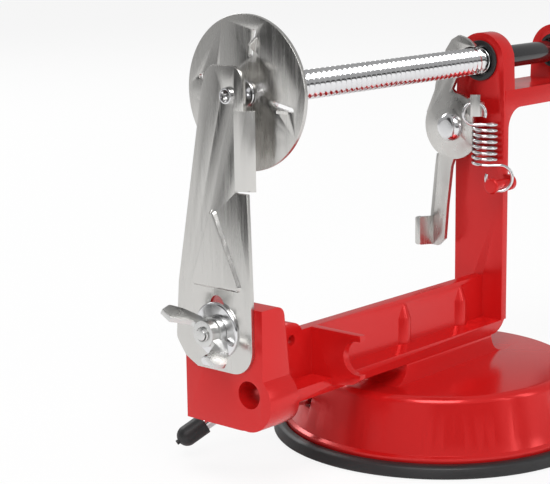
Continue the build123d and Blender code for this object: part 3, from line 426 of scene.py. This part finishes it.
def rod_along_x(start, end, radius, y, z, sides=64, edge=0.0):
    deselect()
    bpy.ops.mesh.primitive_cylinder_add(
        vertices=sides,
        radius=radius,
        depth=end - start,
        location=((start + end) / 2, y, z),
        rotation=(0, pi / 2, 0),
    )
    rod = bpy.context.object
    bpy.ops.object.transform_apply(location=True, rotation=True, scale=True)
    if edge:
        round_edges(rod, edge, 3, 40.0)
    return rod


def thread_along_x(start, end, crest, depth, pitch, y, z, steps=40):
    """A right-hand thread, turned from one pitch of its profile."""
    turns = max(1, round((end - start) / pitch))
    deselect()
    bpy.ops.mesh.primitive_plane_add(size=pitch, location=(0, 0, 0))
    thread = bpy.context.object
    bpy.ops.object.mode_set(mode="EDIT")
    bpy.ops.mesh.select_all(action="SELECT")
    bpy.ops.mesh.delete(type="ONLY_FACE")
    bpy.ops.object.mode_set(mode="OBJECT")
    profile = (
        (0.0, 0.0),
        (0.09, 0.0),
        (0.17, 0.16),
        (0.34, 0.84),
        (0.43, 1.0),
        (0.57, 1.0),
        (0.66, 0.84),
        (0.83, 0.16),
        (0.91, 0.0),
        (1.0, 0.0),
    )
    points = [(share * pitch, 0, crest - fall * depth) for share, fall in profile]
    edges = [(i, i + 1) for i in range(len(points) - 1)]
    thread.data.clear_geometry()
    thread.data.from_pydata(points, edges, [])
    apply_modifier(
        thread,
        "SCREW",
        axis="X",
        angle=2 * pi,
        screw_offset=pitch,
        iterations=turns,
        steps=steps,
        render_steps=steps,
        use_merge_vertices=True,
        merge_threshold=0.00001,
        use_normal_calculate=True,
    )
    only(thread)
    thread.location = (start - pitch / 2, y, z)
    bpy.ops.object.transform_apply(location=True, rotation=True, scale=True)
    # square the two ends off and close them
    bpy.ops.object.mode_set(mode="EDIT")
    for cut, normal in ((start, (-1, 0, 0)), (end, (1, 0, 0))):
        bpy.ops.mesh.select_all(action="SELECT")
        bpy.ops.mesh.bisect(
            plane_co=(cut, 0, 0),
            plane_no=normal,
            clear_outer=True,
            use_fill=True,
            threshold=0.00001,
        )
    bpy.ops.mesh.select_all(action="SELECT")
    bpy.ops.mesh.normals_make_consistent(inside=False)
    bpy.ops.object.mode_set(mode="OBJECT")
    return thread


def join(pieces, name):
    deselect()
    for piece in pieces:
        piece.select_set(True)
    bpy.context.view_layer.objects.active = pieces[0]
    bpy.ops.object.join()
    whole = bpy.context.object
    whole.name = name
    return whole


# ------------------------------------------------------------------------- operators
class CUTTER_OT_finishes(bpy.types.Operator):
    """Make the finishes that the pieces share"""

    bl_idname = "cutter.finishes"
    bl_label = "Finishes"
    bl_options = {"REGISTER", "UNDO"}

    def execute(self, context):
        look = context.scene.cutter
        variation_group()
        brushing_group()
        finish_material(
            "red_enamel", look.enamel, 0.0, 0.30, coat=0.7, coat_roughness=0.05,
            drift=0.16, spread=0.1, scale=35.0, bump=0.06, depth=0.0002, ior=1.45,
        )
        finish_material(
            "screw_chrome", look.chrome, 1.0, 0.13, drift=0.1, spread=0.12, scale=120.0,
            bump=0.05, depth=0.0001,
        )
        finish_material(
            "polished_steel", look.chrome, 1.0, 0.16, drift=0.12, spread=0.14, scale=90.0,
            bump=0.06, depth=0.0001,
        )
        finish_material(
            "rolled_stainless", look.steel, 1.0, 0.24, drift=0.14, spread=0.14, scale=45.0,
            bump=0.10, depth=0.00006, stretch=(900.0, 900.0, 40.0),
        )
        finish_material(
            "ground_stainless", look.steel, 1.0, 0.30, drift=0.18, spread=0.2, scale=70.0,
            bump=0.16, depth=0.00008, stretch=(1200.0, 260.0, 60.0),
        )
        finish_material(
            "zinc_plating", (0.66, 0.66, 0.65), 1.0, 0.28, drift=0.2, spread=0.2,
            scale=150.0, bump=0.12, depth=0.0001,
        )
        finish_material(
            "cup_rubber", look.rubber, 0.0, 0.48, drift=0.5, spread=0.25, scale=80.0,
            bump=0.25, depth=0.0002,
        )
        finish_material(
            "black_gloss", (0.010, 0.010, 0.011), 0.0, 0.14, coat=0.6, drift=0.4,
            spread=0.08, scale=90.0, bump=0.05, depth=0.0001,
        )
        finish_material(
            "black_moulding", (0.016, 0.016, 0.017), 0.0, 0.34, drift=0.4, spread=0.15,
            scale=70.0, bump=0.15, depth=0.00015,
        )
        return {"FINISHED"}


class CUTTER_OT_castings(bpy.types.Operator):
    """Round the edges of the two enamelled castings"""

    bl_idname = "cutter.castings"
    bl_label = "Castings"
    bl_options = {"REGISTER", "UNDO"}

    def execute(self, context):
        look = context.scene.cutter
        one_casting(("frame_casting", "front_eye", "rear_eye"), look.casting_edge, "red_enamel")
        worked_copy("base_housing", look.casting_edge, "red_enamel", 3, 28.0, 50.0)
        return {"FINISHED"}


class CUTTER_OT_suction_base(bpy.types.Operator):
    """Finish the cup, the cam and the plate inside the housing"""

    bl_idname = "cutter.suction_base"
    bl_label = "Suction base"
    bl_options = {"REGISTER", "UNDO"}

    def execute(self, context):
        look = context.scene.cutter
        worked_copy("suction_cup", look.casting_edge, "cup_rubber", 3, 20.0, 50.0)
        worked_copy("cam_ring", look.sheet_edge, "black_moulding", 2)
        for name in ("base_plate", "plate_screws", "frame_screws", "cup_stud", "cross_pin"):
            worked_copy(name, look.sheet_edge, "zinc_plating", 2)
        return {"FINISHED"}


class CUTTER_OT_suction_lever(bpy.types.Operator):
    """Finish the lever that works the suction cup"""

    bl_idname = "cutter.suction_lever"
    bl_label = "Suction lever"
    bl_options = {"REGISTER", "UNDO"}

    def execute(self, context):
        worked_copy("lever_rod", 0.0, "polished_steel")
        worked_copy("lever_cap", 0.0, "cup_rubber", smooth_angle=60.0)
        return {"FINISHED"}


class CUTTER_OT_feed_screw(bpy.types.Operator):
    """Turn the threaded screw with its shank and spigots"""

    bl_idname = "cutter.feed_screw"
    bl_label = "Feed screw"
    bl_options = {"REGISTER", "UNDO"}

    def execute(self, context):
        look = context.scene.cutter
        low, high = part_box("lead_screw")
        sleeve_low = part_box("shaft_sleeve")[0]
        hub_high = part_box("disc_hub")[1]
        axis = (low[2] + high[2]) / 2
        crest = (high[2] - low[2]) / 2
        shoulder = sleeve_low[0] - 0.1 * MM
        disc_back = hub_high[0] - HUB_LENGTH
        disc_front = disc_back - DISC_THICKNESS
        pieces = [
            thread_along_x(
                disc_back + 0.4 * MM, THREAD_END, crest, look.thread_depth, look.thread_pitch, 0, axis
            ),
            rod_along_x(
                THREAD_END - 0.2 * MM, THREAD_END + THREAD_RUNOUT, crest - look.thread_depth, 0, axis
            ),
            rod_along_x(THREAD_END + THREAD_RUNOUT, shoulder, crest, 0, axis, 64, 0.35 * MM),
            rod_along_x(shoulder - 0.2 * MM, high[0], SPIGOT_RADIUS, 0, axis, 40, 0.3 * MM),
            rod_along_x(disc_front - 0.2 * MM, disc_back + 1.0 * MM, SPIGOT_RADIUS, 0, axis, 40),
            rod_along_x(low[0], disc_front, RIVET_RADIUS, 0, axis, 48, 0.5 * MM),
        ]
        screw = join(pieces, "feed_screw")
        smooth(screw, 30.0)
        settle(screw, "screw", "chrome_screw", "screw_chrome", "lead_screw")
        return {"FINISHED"}


class CUTTER_OT_bearings(bpy.types.Operator):
    """Finish the bushes and the sleeve between them"""

    bl_idname = "cutter.bearings"
    bl_label = "Bearings and sleeve"
    bl_options = {"REGISTER", "UNDO"}

    def execute(self, context):
        look = context.scene.cutter
        for name in ("front_bush", "rear_bush"):
            worked_copy(name, look.sheet_edge, "black_moulding")
        worked_copy("shaft_sleeve", look.sheet_edge, "black_gloss")
        return {"FINISHED"}


class CUTTER_OT_pusher(bpy.types.Operator):
    """Finish the pusher disc and its hub"""

    bl_idname = "cutter.pusher"
    bl_label = "Pusher disc"
    bl_options = {"REGISTER", "UNDO"}

    def execute(self, context):
        look = context.scene.cutter
        worked_copy("pusher_disc", look.sheet_edge, "rolled_stainless")
        worked_copy("disc_hub", look.sheet_edge, "polished_steel")
        return {"FINISHED"}


class CUTTER_OT_blade(bpy.types.Operator):
    """Finish the blade, its clamp bolt, washer and key"""

    bl_idname = "cutter.blade"
    bl_label = "Blade and clamp"
    bl_options = {"REGISTER", "UNDO"}

    def execute(self, context):
        look = context.scene.cutter
        worked_copy("blade_plate", look.sheet_edge, "rolled_stainless", 3, 25.0)
        worked_copy("core_tube", 0.1 * MM, "polished_steel", 2)
        worked_copy("blade_washer", look.sheet_edge, "polished_steel")
        worked_copy("locating_key", look.sheet_edge, "polished_steel")
        low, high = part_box("blade_bolt")
        y = (low[1] + high[1]) / 2
        z = (low[2] + high[2]) / 2
        crest = BOLT_RADIUS
        head = high[0] - BOLT_HEAD
        pieces = [
            thread_along_x(
                low[0] + 0.5 * MM, low[0] + 10 * MM, crest, BOLT_THREAD_DEPTH, BOLT_PITCH, y, z, 28
            ),
            rod_along_x(low[0], low[0] + 0.6 * MM, crest - BOLT_THREAD_DEPTH, y, z, 32, 0.25 * MM),
            rod_along_x(low[0] + 9.9 * MM, head + 0.3 * MM, crest, y, z, 40),
            rod_along_x(head, high[0], 4.4 * MM, y, z, 48, 1.2 * MM),
        ]
        bolt = join(pieces, "clamp_bolt")
        smooth(bolt, 35.0)
        settle(bolt, "frame", slot_of("blade_bolt"), "zinc_plating", "blade_bolt")
        return {"FINISHED"}


class CUTTER_OT_wing_nut(bpy.types.Operator):
    """Finish the wing nut"""

    bl_idname = "cutter.wing_nut"
    bl_label = "Wing nut"
    bl_options = {"REGISTER", "UNDO"}

    def execute(self, context):
        worked_copy("wing_nut", 0.55 * MM, "zinc_plating", 4, 30.0, 60.0)
        return {"FINISHED"}


class CUTTER_OT_release(bpy.types.Operator):
    """Finish the quick-release lever, its pivot and its spring"""

    bl_idname = "cutter.release"
    bl_label = "Release lever"
    bl_options = {"REGISTER", "UNDO"}

    def execute(self, context):
        look = context.scene.cutter
        worked_copy("release_lever", look.sheet_edge, "ground_stainless", 3, 30.0)
        worked_copy("pivot_screw", look.sheet_edge, "polished_steel", smooth_angle=60.0)
        worked_copy("release_spring", 0.0, "polished_steel", smooth_angle=70.0)
        return {"FINISHED"}


class CUTTER_OT_crank(bpy.types.Operator):
    """Finish the crank and its knob"""

    bl_idname = "cutter.crank"
    bl_label = "Crank"
    bl_options = {"REGISTER", "UNDO"}

    def execute(self, context):
        look = context.scene.cutter
        worked_copy("crank_arm", 0.6 * MM, "screw_chrome")
        worked_copy("crank_nut", 0.4 * MM, "screw_chrome")
        worked_copy("knob_pin", look.sheet_edge, "polished_steel")
        worked_copy("crank_knob", look.casting_edge, "black_moulding", smooth_angle=50.0)
        return {"FINISHED"}


def soft_lamp(name, place, aim, size, power):
    data = bpy.data.lights.new(name, "AREA")
    data.shape = "RECTANGLE"
    data.size, data.size_y = size
    data.energy = power
    lamp = bpy.data.objects.new(name, data)
    bpy.context.scene.collection.objects.link(lamp)
    lamp.location = place
    lamp.rotation_euler = (Vector(aim) - Vector(place)).to_track_quat("-Z", "Y").to_euler()
    return lamp


def dark_card(name, place, size, material):
    """A card that faces the cutter and is met by mirrored rays alone."""
    deselect()
    bpy.ops.mesh.primitive_plane_add(size=1.0)
    card = bpy.context.object
    card.name = name
    card.scale = (*size, 1)
    card.location = place
    toward = Vector((0, 0, 0.09)) - Vector(place)
    card.rotation_euler = toward.to_track_quat("Z", "Y").to_euler()
    card.data.materials.append(material)
    card.visible_camera = False
    card.visible_diffuse = False
    card.visible_shadow = False
    card.visible_transmission = False


class CUTTER_OT_studio(bpy.types.Operator):
    """Set up the floor, the lamps and the photograph's camera"""

    bl_idname = "cutter.studio"
    bl_label = "Studio"
    bl_options = {"REGISTER", "UNDO"}

    def execute(self, context):
        deselect()
        bpy.ops.mesh.primitive_plane_add(size=16.0, location=(0, 0, -0.0002))
        floor = bpy.context.object
        floor.name = "floor"
        paper = bpy.data.materials.new("pale_paper")
        paper.use_nodes = True
        tree = paper.node_tree
        shader = tree.nodes["Principled BSDF"]
        shader.inputs["Base Color"].default_value = (0.92, 0.92, 0.92, 1)
        shader.inputs["Roughness"].default_value = 0.75
        glow = node(tree, "ShaderNodeEmission", Strength=1.0)
        rays = node(tree, "ShaderNodeLightPath")
        share = node(tree, "ShaderNodeMath", operation="MULTIPLY")
        share.inputs[1].default_value = FLOOR_GLOW
        mix = node(tree, "ShaderNodeMixShader")
        tree.links.new(rays.outputs["Is Camera Ray"], share.inputs[0])
        tree.links.new(share.outputs[0], mix.inputs["Fac"])
        tree.links.new(shader.outputs[0], mix.inputs[1])
        tree.links.new(glow.outputs[0], mix.inputs[2])
        tree.links.new(mix.outputs[0], tree.nodes["Material Output"].inputs["Surface"])
        floor.data.materials.append(paper)

        world = bpy.data.worlds.new("studio_world")
        bpy.context.scene.world = world
        world.use_nodes = True
        tree = world.node_tree
        back = tree.nodes["Background"]
        back.inputs["Color"].default_value = (1, 1, 1, 1)
        rays = node(tree, "ShaderNodeLightPath")
        level = node(tree, "ShaderNodeMapRange")
        level.inputs["To Min"].default_value = WORLD_DIFFUSE
        level.inputs["To Max"].default_value = WORLD_SEEN
        tree.links.new(rays.outputs["Is Camera Ray"], level.inputs["Value"])
        tree.links.new(level.outputs[0], back.inputs["Strength"])

        # dark cards give the bright metal something to mirror
        card = bpy.data.materials.new("dark_card")
        card.use_nodes = True
        card.node_tree.nodes["Principled BSDF"].inputs["Base Color"].default_value = (
            0.012, 0.012, 0.012, 1,
        )
        card.node_tree.nodes["Principled BSDF"].inputs["Roughness"].default_value = 0.9
        for name, place, size in CARDS:
            dark_card(name, place, size, card)

        aim = (0.0, 0.0, 0.07)
        for name, place, size, power in LAMPS:
            soft_lamp(name, place, aim, size, power)

        data = bpy.data.cameras.new("photo_camera")
        data.sensor_fit = "HORIZONTAL"
        data.sensor_width = CAMERA_SENSOR
        data.lens = CAMERA_LENS
        data.clip_start = 0.01
        camera = bpy.data.objects.new("photo_camera", data)
        bpy.context.scene.collection.objects.link(camera)
        turn, dip, roll = radians(CAMERA_AZIMUTH), radians(CAMERA_DIP), radians(CAMERA_ROLL)
        ahead = Vector((cos(turn) * cos(dip), sin(turn) * cos(dip), -sin(dip)))
        right = Vector((sin(turn), -cos(turn), 0))
        down = ahead.cross(right)
        across = right * cos(roll) + down * sin(roll)
        up = right * sin(roll) - down * cos(roll)
        camera.matrix_world = Matrix.Translation(CAMERA_PLACE) @ Matrix(
            [[across[i], up[i], -ahead[i]] for i in range(3)]
        ).to_4x4()
        bpy.context.scene.camera = camera
        bpy.context.scene.view_settings.view_transform = "Standard"
        return {"FINISHED"}


STEPS = (
    CUTTER_OT_finishes,
    CUTTER_OT_castings,
    CUTTER_OT_suction_base,
    CUTTER_OT_suction_lever,
    CUTTER_OT_feed_screw,
    CUTTER_OT_bearings,
    CUTTER_OT_pusher,
    CUTTER_OT_blade,
    CUTTER_OT_wing_nut,
    CUTTER_OT_release,
    CUTTER_OT_crank,
    CUTTER_OT_studio,
)


class CUTTER_PT_panel(bpy.types.Panel):
    """Lists the cutter's sizes, colours and steps"""

    bl_idname = "CUTTER_PT_panel"
    bl_label = "Spiral cutter"
    bl_space_type = "VIEW_3D"
    bl_region_type = "UI"
    bl_category = "Cutter"

    def draw(self, context):
        for name in CutterSettings.__annotations__:
            self.layout.prop(context.scene.cutter, name)
        for step in STEPS:
            self.layout.operator(step.bl_idname)


CLASSES = (CutterSettings, *STEPS, CUTTER_PT_panel)


def register():
    for made in CLASSES:
        bpy.utils.register_class(made)
    bpy.types.Scene.cutter = bpy.props.PointerProperty(type=CutterSettings)


def unregister():
    del bpy.types.Scene.cutter
    for made in reversed(CLASSES):
        bpy.utils.unregister_class(made)


def main():
    register()
    for step in STEPS:
        group, name = step.bl_idname.split(".")
        getattr(getattr(bpy.ops, group), name)()


if __name__ == "__main__":
    main()
